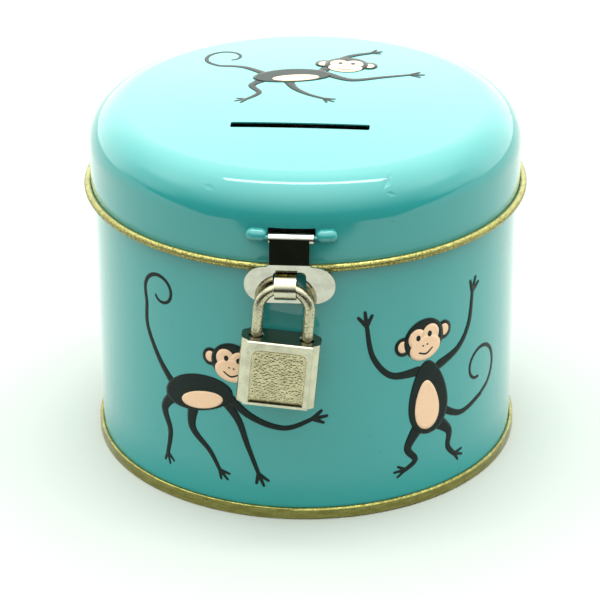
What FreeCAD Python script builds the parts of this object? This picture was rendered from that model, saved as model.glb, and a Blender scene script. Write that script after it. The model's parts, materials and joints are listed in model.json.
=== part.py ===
import FreeCAD, Part
import math
import os
from FreeCAD import Vector

# A round tinplate money box with a hinged lid, a hasp and a small padlock.
# Frame: millimetres, origin at the centre of the plane the box stands on, +Z up,
# the hasp and padlock face -Y and the lid's hinge is at +Y.

os.makedirs("parts", exist_ok=True)

# ---- tin body ----
BODY_R = 50.0            # outer radius of the wall
SHEET = 0.3              # tinplate thickness
BODY_TOP = 71.2          # top of the wall's inward curl, inside the closed lid
BODY_CURL_R = 0.7        # outer radius of that curl
STOP_BEAD_R = 0.6        # rolled bead that the lid's curl rests on
SEAM_R = 50.9            # outer radius of the double seam at the foot
SEAM_H = 2.85            # height of the double seam
SEAM_GAP = 0.05          # gap between the seam's layers
PANEL_Z = 2.5            # underside of the recessed bottom panel
PANEL_STEP = 0.6         # the panel's middle is embossed this much higher

# ---- lid ----
LID_R = 50.8             # outer radius of the skirt
SHOULDER_R = 8.9         # radius of the rounded shoulder
SHOULDER_TOP = 83.78     # height where the shoulder would end level
DOME_RISE = 1.0          # rise of the dome above that
LID_CURL_R = 0.95        # outer radius of the outward curl at the skirt's lower edge
LID_CURL_Z = 64.5        # height of the curl's centre
CURL_END_DEG = 125.0     # where the curl's free edge stops, from outward horizontal

# ---- coin slot ----
SLOT_LENGTH = 31.8
SLOT_WIDTH = 3.0
SLOT_Y = -17.9

# ---- pressed bridge that carries the hasp ----
BUMP_R = 1.45            # section radius of the two pressed bumps
BUMP_Z = 72.05
BUMP_IN_X = 5.25         # bumps run from here
BUMP_OUT_X = 10.15       # to here, on both sides
BAR_R = 0.5              # section radius of the bar between the bumps
BAR_Z = 71.75
BAR_OUT = 0.85           # the bar's flat back is this far outside the skirt
BAR_HALF_ANGLE = 7.2     # degrees round the lid, each way from the bridge's middle
WINDOW_LOW = 70.4        # lower edge of the opening behind the bar
WINDOW_TOP = 73.75
BRIDGE_X = 0.35          # the bridge and the hasp's eye sit this much to the right of the strap
BRIDGE_ANGLE = math.degrees(BRIDGE_X / LID_R)

# ---- hasp ----
EYE_Y = -51.8            # axis of the rolled eye, along X
EYE_R = 1.2
ROLL_GAP = (-0.85, -0.6) # the roll is open between these shares of its radius
EYE_WIDTH = 9.9
HASP_T = 0.5
STRAP_HALF = 4.4
BEND_Z = 65.9            # the strap bends in towards the wall here
BEND_Y = -53.4
PLATE_HALF = 10.1
PLATE_TOP = 65.6
PLATE_LOW = 56.1
PLATE_LOW_Y = -51.65
HASP_SLOT_HALF = 3.7
HASP_SLOT_TOP = 64.4
HASP_SLOT_LOW = 57.4

# ---- staple ----
STAPLE_R = 2.75          # outer radius of the loop
STAPLE_T = 0.5
STAPLE_X = -0.8          # the loop sits this much to the left of the strap
STAPLE_HALF = 2.4        # half width along X
STAPLE_Y = -53.6
STAPLE_Z = 60.75
CLINCH_LENGTH = 2.6      # folded ends inside the wall
CLINCH_Y = -48.95        # inner face of the folded ends

# ---- hinge ----
PIN_Y = 54.0
PIN_Z = LID_CURL_Z
PIN_R = 0.65
PIN_BORE_R = 0.70
KNUCKLE_R = 1.25
LEAF_T = 0.5
HINGE_HALF = 10.0
LID_KNUCKLE_HALF = 4.0
KNUCKLE_GAP = 0.1
RIVET_X = 6.0
RIVET_R = 1.0
RIVET_HOLE_R = 1.05
BODY_RIVET_Z = 55.6
LID_RIVET_Z = 73.0

# ---- padlock, upright, origin at the top of the shackle, then hung on the staple ----
HANG = Vector(-0.5, -54.3, 62.3)
HANG_TILT = 5.2          # degrees the padlock leans about +Y
WIRE_R = 1.3
LEG_X = 5.65
CASE_HALF_W = 8.9
CASE_HALF_T = 3.7
CASE_TOP = -13.5
CASE_LOW = -29.3
CASE_CHAMFER = 0.25
SLAB_HALF = 7.3          # half width of the raised middle of both faces
SLAB_STEP = 0.7          # how far the shoulders beside it drop back
PANEL_HALF = 6.15        # half width of the sunk panel in that middle
PANEL_SUNK = 0.85
PANEL_BORDER_LOW = 0.6
PANEL_BORDER_TOP = 2.0
CEILING = CASE_TOP - 1.2
CAVITY_HALF_W = 7.5
CAVITY_HALF_T = 2.45
CAVITY_CHAMFER = 1.0      # cut off the cavity's four upright corners
FIT = 0.05               # clearance of the parts that sit in the case
PRESS = 0.02             # clearance of the plate pressed into its mouth
DROP = 4.9               # how far the case drops on the open shackle
LEG_HOLE_R = 1.5
TOE_END = -18.1          # end of the short leg
HEEL_END = -25.1         # end of the long leg
HEEL_PIN_R = 0.6
HEEL_PIN_X = -4.5
HEEL_PIN_Z = -18.6
PLUG_R = 2.1
PLUG_TOP = -16.8
BOTTOM_PLATE_T = 0.8
DRIVE_E = 1.3            # how far the plug's drive pin is off its axis
DRIVE_R = 0.5
BOLT_LOW = -16.65
BOLT_TOP = -14.85
BOLT_TIP = 5.3           # the bolt's nose reaches this far into the short leg
BOLT_BACK = -1.4
BOLT_HALF_T = 2.1
BOLT_NECK = 3.1           # the body narrows to the nose here
NOSE_HALF_T = 1.2
BOLT_TRAVEL = 2 * DRIVE_E * math.sin(math.radians(45))
PLUG_PIN_R = 0.45
PLUG_PIN_Z = -25.4
PIN_HALF = CAVITY_HALF_T - 0.07
WAFERS = (-20.3, -21.5, -22.7, -23.9)
WAFER_T = 0.5
SPRING_LENGTH = 2.2

UP = Vector(0, 0, 1)
ORIGIN = Vector(0, 0, 0)


# ---------------------------------------------------------------- helpers

def section(a, b):
    """A point of a profile: a outward from the Z axis, b up."""
    return Vector(a, 0, b)


def side(a, b):
    """A point of an outline seen from the side: a along Y, b up."""
    return Vector(0, a, b)


def outline(points, place):
    """A face inside (a, b, corner radius) points, with each corner rounded."""
    corners = []
    for i, (a, b, radius) in enumerate(points):
        here = Vector(a, b, 0)
        before = Vector(points[i - 1][0], points[i - 1][1], 0)
        after = Vector(*points[(i + 1) % len(points)][:2], 0)
        if radius == 0:
            corners.append((here, None, here))
            continue
        back = (before - here).normalize()
        on = (after - here).normalize()
        half = back.getAngle(on) / 2
        reach = radius / math.tan(half)
        bisector = (back + on).normalize()
        middle = here + bisector * (radius / math.sin(half) - radius)
        corners.append((here + back * reach, middle, here + on * reach))
    edges = []
    for i, (start, middle, end) in enumerate(corners):
        if middle is not None:
            edges.append(Part.Arc(*[place(p.x, p.y) for p in (start, middle, end)]).toShape())
        following = corners[(i + 1) % len(corners)][0]
        if end.distanceToPoint(following) > 1e-6:
            edges.append(Part.makeLine(place(end.x, end.y), place(following.x, following.y)))
    return Part.Face(Part.Wire(edges))


def turned(face):
    """The face turned all the way round the Z axis."""
    return face.revolve(ORIGIN, UP, 360)


def arc(centre, radius, start, end):
    """An arc in the profile plane, angles in degrees from outward horizontal."""
    points = []
    for angle in (start, (start + end) / 2, end):
        turn = math.radians(angle)
        points.append(section(centre[0] + radius * math.cos(turn), centre[1] + radius * math.sin(turn)))
    return Part.Arc(*points).toShape()


def joined(edges):
    """A face from arcs that follow one another, with straight lines between their ends."""
    chain = []
    for i, edge in enumerate(edges):
        end = edge.valueAt(edge.LastParameter)
        following = edges[(i + 1) % len(edges)]
        start = following.valueAt(following.FirstParameter)
        chain.append(edge)
        if end.distanceToPoint(start) > 1e-6:
            chain.append(Part.makeLine(end, start))
    return Part.Face(Part.Wire(chain))


def box(x, y, z):
    """A box between pairs of limits."""
    return Part.makeBox(x[1] - x[0], y[1] - y[0], z[1] - z[0], Vector(x[0], y[0], z[0]))


def rod(radius, start, along):
    """A cylinder from a point along a vector."""
    return Part.makeCylinder(radius, along.Length, start, along)


def tube(outer, inner, low, high):
    """An upright tube on the Z axis."""
    return rod(outer, section(0, low), UP * (high - low)).cut(
        rod(inner, section(0, low - 1), UP * (high - low + 2)))


def around(radius, height, tube_r, start, end):
    """Part of a ring about Z. Angles are measured from the front towards +X."""
    circle = Part.makeCircle(tube_r, section(radius, height), Vector(0, 1, 0))
    ring = Part.Face(Part.Wire(circle)).revolve(ORIGIN, UP, end - start)
    ring.rotate(ORIGIN, UP, start - 90)
    return ring


def at_front(radius, height, angle):
    """A point at an angle from the front, towards +X."""
    turn = math.radians(angle)
    return Vector(radius * math.sin(turn), -radius * math.cos(turn), height)


def hung(shape):
    """A padlock part moved from upright to where it hangs on the staple."""
    shape.rotate(ORIGIN, Vector(0, 1, 0), HANG_TILT)
    shape.translate(HANG)
    return shape


def save(name, shapes):
    """One STEP file for one named sub-part."""
    whole = shapes[0] if len(shapes) == 1 else Part.makeCompound(shapes)
    whole.exportStep(os.path.join("parts", name + ".step"))


# ---------------------------------------------------------------- tin body

def body_wall():
    """Rolled sheet: hooked into the seam below, curled inward at the top."""
    inside = BODY_R - SHEET
    layer = 0.25
    hook_out = SEAM_R - SHEET - SEAM_GAP - 0.02
    hook_in = hook_out - layer
    flange_low = SHEET + SEAM_GAP + 0.02
    flange_top = flange_low + layer
    hook_top = 2.3
    foot_top = 5.0
    curl = (BODY_R - BODY_CURL_R, BODY_TOP - BODY_CURL_R)
    foot = outline([
        (inside, flange_low, 0), (hook_out, flange_low, 0), (hook_out, hook_top, 0),
        (hook_in, hook_top, 0), (hook_in, flange_top, 0), (BODY_R, flange_top, 0),
        (BODY_R, foot_top, 0), (inside, foot_top, 0)], section)
    wall = outline([
        (inside, foot_top - 1, 0), (BODY_R, foot_top - 1, 0),
        (BODY_R, curl[1], 0), (inside, curl[1], 0)], section)
    edges = [arc(curl, BODY_CURL_R, 0, 240), arc(curl, BODY_CURL_R - SHEET, 240, 0)]
    shell = turned(foot).fuse([turned(wall), turned(joined(edges))])
    contact = LID_CURL_R + STOP_BEAD_R
    across = LID_R - SHEET + LID_CURL_R - BODY_R
    bead_z = LID_CURL_Z - math.sqrt((contact + 0.01) ** 2 - across ** 2)
    bead = around(BODY_R, bead_z, STOP_BEAD_R, 0, 360)
    shell = shell.fuse(bead.cut(rod(inside, section(0, 0), UP * 100)))
    shell = shell.cut(around(BODY_R - 0.1, bead_z, STOP_BEAD_R - 0.2, 0, 360))
    shell = lock_seam(shell, inside)
    for leg in staple_legs(SEAM_GAP):
        shell = shell.cut(leg)
    for hole in rivet_holes(BODY_RIVET_Z):
        shell = shell.cut(hole)
    return shell.removeSplitter()


def lock_seam(shell, inside):
    """The wall's joint down the back: a folded strip inside and a fine groove outside."""
    fold_half = 1.7
    fold_t = 0.45
    groove_depth = 0.12
    behind = (0, BODY_R + 10)
    tall = (0, BODY_TOP)
    strip = tube(inside + 0.1, inside - fold_t, PANEL_Z + 0.9, BODY_TOP - 2)
    groove = tube(BODY_R + 1, BODY_R - groove_depth, SEAM_H + 0.35, LID_CURL_Z - 2.1)
    strip = strip.common(box((-fold_half, fold_half), behind, tall))
    groove = groove.common(box((1.3, 1.55), behind, tall))
    return shell.fuse(strip).cut(groove)


def bottom_end():
    """Bottom panel, set up inside the wall and wrapped round its foot in a double seam."""
    chuck_out = BODY_R - SHEET - SEAM_GAP
    chuck_in = chuck_out - 0.27
    hook_in = BODY_R + 0.03
    hook_out = hook_in + 0.22
    wall_in = SEAM_R - SHEET - 0.02
    top_in = SEAM_H - SHEET
    step_r = 41.0
    floor = PANEL_Z + PANEL_STEP
    return turned(outline([
        (0, floor, 0), (step_r, floor, 0.4), (step_r + 1, PANEL_Z, 0.4), (chuck_in, PANEL_Z, 0.3),
        (chuck_in, 0, 0.26), (SEAM_R, 0, 0.3), (SEAM_R, SEAM_H, 0.4), (hook_in, SEAM_H, 0.15),
        (hook_in, 0.7, 0), (hook_out, 0.7, 0), (hook_out, top_in, 0), (wall_in, top_in, 0),
        (wall_in, SHEET + 0.02, 0), (chuck_out, SHEET + 0.02, 0), (chuck_out, PANEL_Z + SHEET, 0.5),
        (step_r + 1, PANEL_Z + SHEET, 0.4), (step_r, floor + SHEET, 0.4),
        (0, floor + SHEET, 0)], section))


def staple_sides(gap):
    """The staple's limits along X, let out by a gap."""
    return STAPLE_X - STAPLE_HALF - gap, STAPLE_X + STAPLE_HALF + gap


def staple_legs(gap):
    """The staple's two flat legs, or the slits for them when gap is above zero."""
    legs = []
    for high in (STAPLE_R, STAPLE_T - STAPLE_R):
        top = STAPLE_Z + high + gap
        low = STAPLE_Z + high - STAPLE_T - gap
        legs.append(box(staple_sides(gap), (STAPLE_Y, CLINCH_Y), (low, top)))
    return legs


def staple_loop():
    """Strip bent to a loop. Its ends pass through the wall and fold flat inside."""
    left, right = staple_sides(0)
    across = Vector(right - left, 0, 0)
    ring = rod(STAPLE_R, Vector(left, STAPLE_Y, STAPLE_Z), across)
    ring = ring.cut(rod(STAPLE_R - STAPLE_T, Vector(left, STAPLE_Y, STAPLE_Z), across))
    front = box((left, right), (STAPLE_Y - STAPLE_R, STAPLE_Y), (STAPLE_Z - STAPLE_R, STAPLE_Z + STAPLE_R))
    loop = ring.common(front).fuse(staple_legs(0))
    fold_out = -(BODY_R - SHEET - 0.12)
    for low in (STAPLE_Z + STAPLE_R - STAPLE_T, STAPLE_Z - STAPLE_R - CLINCH_LENGTH + STAPLE_T):
        loop = loop.fuse(box((left, right), (fold_out, CLINCH_Y), (low, low + CLINCH_LENGTH)))
    return loop.removeSplitter()


# ---------------------------------------------------------------- hinge

def rivet_at(shape, sign):
    """Turn a rivet or hole built on the +Y axis to its place beside the middle."""
    turn = math.degrees(math.asin(RIVET_X / BODY_R))
    shape.rotate(ORIGIN, UP, sign * turn)
    return shape


def rivet_holes(height):
    """Two holes through the wall and the hinge leaf."""
    return [rivet_at(rod(RIVET_HOLE_R, Vector(0, 40, height), Vector(0, 15, 0)), s) for s in (-1, 1)]


def rivets(height, outside, inside):
    """Two rivets: domed head outside, flared ring inside, with a dimple in the end."""
    head_r = 1.8
    head_h = 0.7
    tail_r = 1.4
    tail_h = 0.45
    dimple_r = 0.75
    dimple_depth = 0.6
    dome_r = (head_r ** 2 + head_h ** 2) / (2 * head_h)
    end = Vector(0, inside - tail_h, height)
    found = []
    for sign in (-1, 1):
        ball = Part.makeSphere(dome_r, Vector(0, outside + head_h - dome_r, height))
        head = ball.common(rod(head_r, Vector(0, outside, height), Vector(0, 5, 0)))
        shank = rod(RIVET_R, end, Vector(0, outside - inside + tail_h + 0.2, 0))
        tail = rod(tail_r, end, Vector(0, tail_h, 0))
        dimple = Part.makeCone(dimple_r, 0.2, dimple_depth, end, Vector(0, 1, 0))
        found.append(rivet_at(head.fuse([shank, tail]).cut(dimple).removeSplitter(), sign))
    return found


def knuckle(low, high):
    """One rolled knuckle of the hinge."""
    ring = rod(KNUCKLE_R, Vector(low, PIN_Y, PIN_Z), Vector(high - low, 0, 0))
    return ring.cut(rod(PIN_BORE_R, Vector(low - 1, PIN_Y, PIN_Z), Vector(high - low + 2, 0, 0)))


def web(low, high, wall_y, turn_z, wall_z):
    """The sheet from a knuckle, straight past the lid's curl and then in to the wall."""
    outer = PIN_Y + KNUCKLE_R
    sheet = outline([
        (outer, PIN_Z, 0), (outer, turn_z, 0.8), (wall_y, wall_z, 0), (wall_y - 2, wall_z, 0),
        (wall_y - 2, wall_z + (0.9 if turn_z < PIN_Z else -0.9), 0),
        (outer - LEAF_T, turn_z + (0.3 if turn_z < PIN_Z else -0.3), 0.4),
        (outer - LEAF_T, PIN_Z, 0)], side)
    sheet.translate(Vector(low, 0, 0))
    sheet = sheet.extrude(Vector(high - low, 0, 0))
    return sheet.cut(rod(PIN_BORE_R, Vector(low - 1, PIN_Y, PIN_Z), Vector(high - low + 2, 0, 0)))


def pad(wall_r, low, high):
    """The hinge's curved plate against the wall."""
    ring = tube(wall_r + LEAF_T, wall_r, low, high)
    shape = outline([
        (-HINGE_HALF, low, 2), (HINGE_HALF, low, 2), (HINGE_HALF, high, 2), (-HINGE_HALF, high, 2)],
        section).extrude(Vector(0, 60, 0))
    return ring.common(shape)


def hinge_leaf_body():
    """Lower leaf: curved pad on the wall and the two outer knuckles."""
    pad_low = 51.6
    pad_top = 60.0
    leaf = pad(BODY_R, pad_low, pad_top)
    inner = LID_KNUCKLE_HALF + KNUCKLE_GAP
    for low, high in ((-HINGE_HALF, -inner), (inner, HINGE_HALF)):
        sheet = web(low, high, BODY_R + LEAF_T / 2, PIN_Z - 1.6, pad_top - 1.2)
        leaf = leaf.fuse([knuckle(low, high), sheet])
    leaf = leaf.cut(rod(BODY_R, section(0, 0), UP * 100))
    for hole in rivet_holes(BODY_RIVET_Z):
        leaf = leaf.cut(hole)
    return leaf.removeSplitter()


def hinge_leaf_lid():
    """Upper leaf: curved pad on the lid's skirt and the middle knuckle."""
    pad_low = 69.4
    pad_top = 75.6
    leaf = pad(LID_R, pad_low, pad_top).fuse([
        knuckle(-LID_KNUCKLE_HALF, LID_KNUCKLE_HALF),
        web(-LID_KNUCKLE_HALF, LID_KNUCKLE_HALF, LID_R + LEAF_T / 2, PIN_Z + 1.6, pad_low + 1.2)])
    leaf = leaf.cut(rod(LID_R, section(0, 0), UP * 100))
    for hole in rivet_holes(LID_RIVET_Z):
        leaf = leaf.cut(hole)
    return leaf.removeSplitter()


def hinge_pin():
    """Plain wire pin with both ends spread."""
    head_t = 0.35
    near = HINGE_HALF + KNUCKLE_GAP / 2
    shank = rod(PIN_R, Vector(-near, PIN_Y, PIN_Z), Vector(2 * near, 0, 0))
    ends = [rod(PIN_R + 0.3, Vector(x, PIN_Y, PIN_Z), Vector(head_t, 0, 0)) for x in (-near - head_t, near)]
    return shank.fuse(ends).removeSplitter()


# ---------------------------------------------------------------- lid

def lid_section():
    """Profile of the lid: dome, shoulder, skirt and outward curl."""
    shoulder = (LID_R - SHOULDER_R, SHOULDER_TOP - SHOULDER_R)
    reach = (shoulder[0] ** 2 + DOME_RISE ** 2) / (2 * DOME_RISE)
    lean = 90 - math.degrees(math.asin(shoulder[0] / reach))
    dome = (0, SHOULDER_TOP + DOME_RISE - SHOULDER_R - reach)
    dome_r = reach + SHOULDER_R
    curl = (LID_R - SHEET + LID_CURL_R, LID_CURL_Z)
    around_end = 360 + CURL_END_DEG
    return joined([
        arc(dome, dome_r, 90, lean),
        arc(shoulder, SHOULDER_R, lean, 0),
        arc(curl, LID_CURL_R - SHEET, 180, around_end),
        arc(curl, LID_CURL_R, around_end, 180),
        arc(shoulder, SHOULDER_R - SHEET, 0, lean),
        arc(dome, dome_r - SHEET, lean, 90)])


def bumps(radius):
    """The two pressed capsules beside the hasp's eye."""
    centre = LID_R + 0.3
    found = []
    for sign in (-1, 1):
        near = math.degrees(math.asin((BRIDGE_X + sign * (BUMP_IN_X + BUMP_R)) / centre))
        far = math.degrees(math.asin((BRIDGE_X + sign * (BUMP_OUT_X - BUMP_R)) / centre))
        found.append(around(centre, BUMP_Z, radius, min(near, far), max(near, far)))
        found.append(Part.makeSphere(radius, at_front(centre, BUMP_Z, near)))
        found.append(Part.makeSphere(radius, at_front(centre, BUMP_Z, far)))
    return found


def lid_shell():
    """One pressed sheet with the coin slot, the hasp's bridge and the rivet holes."""
    skirt_low = section(0, LID_CURL_Z)
    skirt = UP * (SHOULDER_TOP - LID_CURL_Z)
    shell = turned(lid_section())
    slot_low = SHOULDER_TOP - 5
    slot = outline([(x * SLOT_LENGTH / 2, SLOT_Y + y * SLOT_WIDTH / 2, 0.5)
                    for x, y in ((-1, -1), (1, -1), (1, 1), (-1, 1))], lambda a, b: Vector(a, b, slot_low))
    shell = shell.cut(slot.extrude(UP * 10))
    bar_centre = LID_R + BAR_OUT
    bar_from = BRIDGE_ANGLE - BAR_HALF_ANGLE
    bar_to = BRIDGE_ANGLE + BAR_HALF_ANGLE
    bar = around(bar_centre, BAR_Z, BAR_R, bar_from, bar_to).cut(rod(bar_centre, skirt_low, skirt))
    window = tube(bar_centre - 0.1, LID_R - 2, WINDOW_LOW, WINDOW_TOP)
    sides = (BRIDGE_X - BUMP_IN_X, BRIDGE_X + BUMP_IN_X)
    window = window.common(box(sides, (-LID_R - 2, 0), (LID_CURL_Z, SHOULDER_TOP)))
    inside = rod(LID_R - SHEET, skirt_low, skirt)
    pressed = bumps(BUMP_R)
    pressed = pressed[0].fuse(pressed[1:]).cut(inside)
    shell = shell.fuse(pressed).cut(window)
    shell = shell.fuse(bar)
    hollow = bumps(BUMP_R - SHEET)
    hollow.append(around(bar_centre, BAR_Z, BAR_R - SHEET, bar_from, bar_to))
    shell = shell.cut(hollow)
    for hole in rivet_holes(LID_RIVET_Z):
        shell = shell.cut(hole)
    return shell.removeSplitter()


# ---------------------------------------------------------------- hasp

def hasp_strap():
    """Strap with a rolled eye at the top and a slotted oval plate at the bottom."""
    half = HASP_T / 2
    top_y = EYE_Y - EYE_R + half
    sheet = outline([
        (top_y - half, BAR_Z, 0), (BEND_Y - half, BEND_Z, 6), (PLATE_LOW_Y - half, PLATE_LOW, 0),
        (PLATE_LOW_Y + half, PLATE_LOW, 0), (BEND_Y + half, BEND_Z, 6), (top_y + half, BAR_Z, 0)], side)
    sheet.translate(Vector(-PLATE_HALF - 1, 0, 0))
    sheet = sheet.extrude(Vector(2 * PLATE_HALF + 2, 0, 0))
    top_r = 4.5
    low_r = 4.7
    shape = outline([
        (STRAP_HALF, BAR_Z + 1, 0), (STRAP_HALF, PLATE_TOP, 1.0), (PLATE_HALF, PLATE_TOP, top_r),
        (PLATE_HALF, PLATE_LOW, low_r), (-PLATE_HALF, PLATE_LOW, low_r), (-PLATE_HALF, PLATE_TOP, top_r),
        (-STRAP_HALF, PLATE_TOP, 1.0), (-STRAP_HALF, BAR_Z + 1, 0)], section)
    slot = outline([
        (-HASP_SLOT_HALF, HASP_SLOT_LOW, 1.2), (HASP_SLOT_HALF, HASP_SLOT_LOW, 1.2),
        (HASP_SLOT_HALF, HASP_SLOT_TOP, 1.2), (-HASP_SLOT_HALF, HASP_SLOT_TOP, 1.2)], section)
    forward = Vector(0, -BODY_R - 10, 0)
    strap = sheet.common(shape.extrude(forward)).cut(slot.extrude(forward))
    eye_start = Vector(BRIDGE_X - EYE_WIDTH / 2, EYE_Y, BAR_Z)
    eye_along = Vector(EYE_WIDTH, 0, 0)
    eye = rod(EYE_R, eye_start, eye_along).cut(rod(EYE_R - HASP_T, eye_start, eye_along))
    # the roll's free edge stops short of the strap
    gap_z = (BAR_Z + ROLL_GAP[0] * EYE_R, BAR_Z + ROLL_GAP[1] * EYE_R)
    roll_gap = box((-EYE_WIDTH, EYE_WIDTH), (EYE_Y, EYE_Y + 3), gap_z)
    return strap.fuse(eye.cut(roll_gap)).removeSplitter()


# ---------------------------------------------------------------- padlock

def shackle():
    """Bent wire with a long leg, held by a pin, and a short leg, held by the bolt."""
    arch_z = -WIRE_R - LEG_X
    circle = Part.Face(Part.Wire(Part.makeCircle(WIRE_R, Vector(LEG_X, 0, arch_z), UP)))
    arch = circle.revolve(Vector(0, 0, arch_z), Vector(0, -1, 0), 180)
    heel = rod(WIRE_R, Vector(-LEG_X, 0, HEEL_END), UP * (arch_z - HEEL_END))
    toe = rod(WIRE_R, Vector(LEG_X, 0, TOE_END), UP * (arch_z - TOE_END))
    across = (-WIRE_R - 1, WIRE_R + 1)
    flat = HEEL_PIN_X - HEEL_PIN_R - FIT
    flat_z = (HEEL_PIN_Z - DROP - HEEL_PIN_R - FIT, HEEL_PIN_Z + HEEL_PIN_R + FIT)
    heel = heel.cut(box((flat, 0), across, flat_z))
    # the short leg is cut away above a slope that matches the bolt's path as it draws back
    slope = BOLT_TRAVEL / DROP
    edge = BOLT_TIP + FIT
    notch_low = BOLT_LOW - FIT
    past_end = TOE_END - 1
    cut = outline([
        (2, BOLT_TOP + FIT, 0), (edge, BOLT_TOP + FIT, 0), (edge, notch_low, 0),
        (edge - slope * (notch_low - past_end), past_end, 0), (2, past_end, 0)], section)
    cut.translate(Vector(0, across[0], 0))
    toe = toe.cut(cut.extrude(Vector(0, across[1] - across[0], 0)))
    return hung(arch.fuse([heel, toe]).removeSplitter())


def both_ways(quarter):
    """A closed outline from the (x, y, radius) points of its +X +Y quarter, listed from the Y axis round."""
    right = quarter + [(x, -y, r) for x, y, r in reversed(quarter)]
    return right + [(-x, y, r) for x, y, r in reversed(right)]


def upright(points, low, high):
    """A solid with a plan outline between two heights."""
    return outline(points, lambda a, b: Vector(a, b, low)).extrude(UP * (high - low))


def sunk_panel(sign):
    """The space cut from one face of the case."""
    low = CASE_LOW + PANEL_BORDER_LOW
    top = CASE_TOP - PANEL_BORDER_TOP
    panel = outline([
        (-PANEL_HALF, low, 0.3), (PANEL_HALF, low, 0.3),
        (PANEL_HALF, top, 1.8), (-PANEL_HALF, top, 1.8)], section)
    panel.translate(Vector(0, sign * (CASE_HALF_T - PANEL_SUNK), 0))
    return panel.extrude(Vector(0, sign * (PANEL_SUNK + 1), 0))


def top_chamfer(sign):
    """The sliver cut from the top edge of one face of the case."""
    face = sign * CASE_HALF_T
    sliver = outline([
        (face - sign * CASE_CHAMFER, CASE_TOP, 0), (face, CASE_TOP - CASE_CHAMFER, 0),
        (face + sign, CASE_TOP + 1, 0)], side)
    sliver.translate(Vector(-CASE_HALF_W, 0, 0))
    return sliver.extrude(Vector(2 * CASE_HALF_W, 0, 0))


def lock_case():
    """Die-cast shell, open below, with stepped sides and a sunk panel on both faces."""
    shoulder_y = CASE_HALF_T - SLAB_STEP
    block = upright(both_ways([
        (SLAB_HALF, CASE_HALF_T, 0.25), (SLAB_HALF, shoulder_y, 0.15),
        (CASE_HALF_W - 0.25, shoulder_y - 0.95, 0.3), (CASE_HALF_W, shoulder_y - 1.9, 0.3)]),
        CASE_LOW, CASE_TOP)
    block = block.cut([top_chamfer(-1), top_chamfer(1), sunk_panel(-1), sunk_panel(1)])
    block = block.cut(upright(cavity(0), CASE_LOW - 1, CEILING))
    sink = 0.6
    for x in (-LEG_X, LEG_X):
        hole = rod(LEG_HOLE_R, Vector(x, 0, CEILING - 1), UP * (CASE_TOP - CEILING + 2))
        mouth = Part.makeCone(LEG_HOLE_R, LEG_HOLE_R + sink, sink, Vector(x, 0, CASE_TOP - sink / 2), UP)
        block = block.cut([hole, mouth])
    return hung(block.removeSplitter())


def cavity(gap):
    """Plan of the cavity, or of a part that sits in it with a gap all round."""
    half_w = CAVITY_HALF_W - gap
    half_t = CAVITY_HALF_T - gap
    return both_ways([(half_w - CAVITY_CHAMFER, half_t, 0), (half_w, half_t - CAVITY_CHAMFER, 0)])


def lock_core():
    """Cast insert that carries the plug, the bolt, both legs and the two pins."""
    high = CEILING - FIT
    low = CASE_LOW + BOTTOM_PLATE_T + FIT
    core = upright(cavity(FIT), low, high)
    spring_low = HEEL_END - SPRING_LENGTH - 0.2
    core = core.cut(rod(LEG_HOLE_R, Vector(-LEG_X, 0, spring_low), UP * (high - spring_low + 1)))
    core = core.cut(rod(LEG_HOLE_R, Vector(LEG_X, 0, TOE_END - 0.4), UP * (high - TOE_END + 1)))
    core = core.cut(rod(PLUG_R + FIT, Vector(0, 0, low - 1), UP * (BOLT_LOW - low + 1)))
    slot_z = (BOLT_LOW - FIT, high + 1)
    body_y = (-BOLT_HALF_T - FIT, BOLT_HALF_T + FIT)
    nose_y = (-NOSE_HALF_T - FIT, NOSE_HALF_T + FIT)
    core = core.cut(box((BOLT_BACK - BOLT_TRAVEL - 0.2, BOLT_NECK + 0.2), body_y, slot_z))
    core = core.cut(box((BOLT_NECK, LEG_X), nose_y, slot_z))
    through = Vector(0, 2 * CAVITY_HALF_T, 0)
    core = core.cut(rod(HEEL_PIN_R, Vector(HEEL_PIN_X, -CAVITY_HALF_T, HEEL_PIN_Z), through))
    core = core.cut(rod(PLUG_PIN_R, Vector(PLUG_R + FIT, -CAVITY_HALF_T, PLUG_PIN_Z), through))
    return hung(core.removeSplitter())


def lock_bolt():
    """Sliding bolt: broad body with a cross slot for the plug's drive pin, and a nose."""
    drive_x = DRIVE_E * math.sin(math.radians(45))
    play = 0.07
    height = (BOLT_LOW, BOLT_TOP)
    body = box((BOLT_BACK, BOLT_NECK), (-BOLT_HALF_T, BOLT_HALF_T), height)
    nose = box((BOLT_NECK - 0.1, BOLT_TIP), (-NOSE_HALF_T, NOSE_HALF_T), height)
    slot_x = (drive_x - DRIVE_R - play, drive_x + DRIVE_R + play)
    slot = box(slot_x, (-1.9, -0.2), (BOLT_LOW - 1, BOLT_TOP + 1))
    return hung(body.fuse(nose).cut(slot).removeSplitter())


def key_plug():
    """Key plug: keyway from below, slots for the wafers, a groove for its pin and a drive pin."""
    turn = math.radians(45)
    plug = rod(PLUG_R, Vector(0, 0, CASE_LOW), UP * (PLUG_TOP - CASE_LOW))
    groove_low = PLUG_PIN_Z - PLUG_PIN_R - FIT
    groove_top = PLUG_PIN_Z + PLUG_PIN_R + FIT
    plug = plug.cut(tube(PLUG_R + 1, PLUG_R - 0.5, groove_low, groove_top))
    keyway = (CASE_LOW - 1, WAFERS[0] + 0.9)
    plug = plug.cut(box((-0.45, 0.45), (-1.4, 1.4), keyway))
    plug = plug.cut(box((0.3, 0.85), (-0.2, 0.5), keyway))
    slot_half = WAFER_T / 2 + FIT
    for z in WAFERS:
        height = (z - slot_half, z + slot_half)
        plug = plug.cut(box((-1.15, 1.15), (-PLUG_R - 1, PLUG_R + 1), height))
        plug = plug.cut(box((1.1, 1.85), (-0.55, 0.85), height))
    drive_at = Vector(DRIVE_E * math.sin(turn), -DRIVE_E * math.cos(turn), PLUG_TOP - 0.2)
    drive = rod(DRIVE_R, drive_at, UP * 1.7)
    return hung(plug.fuse(drive).removeSplitter())


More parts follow.
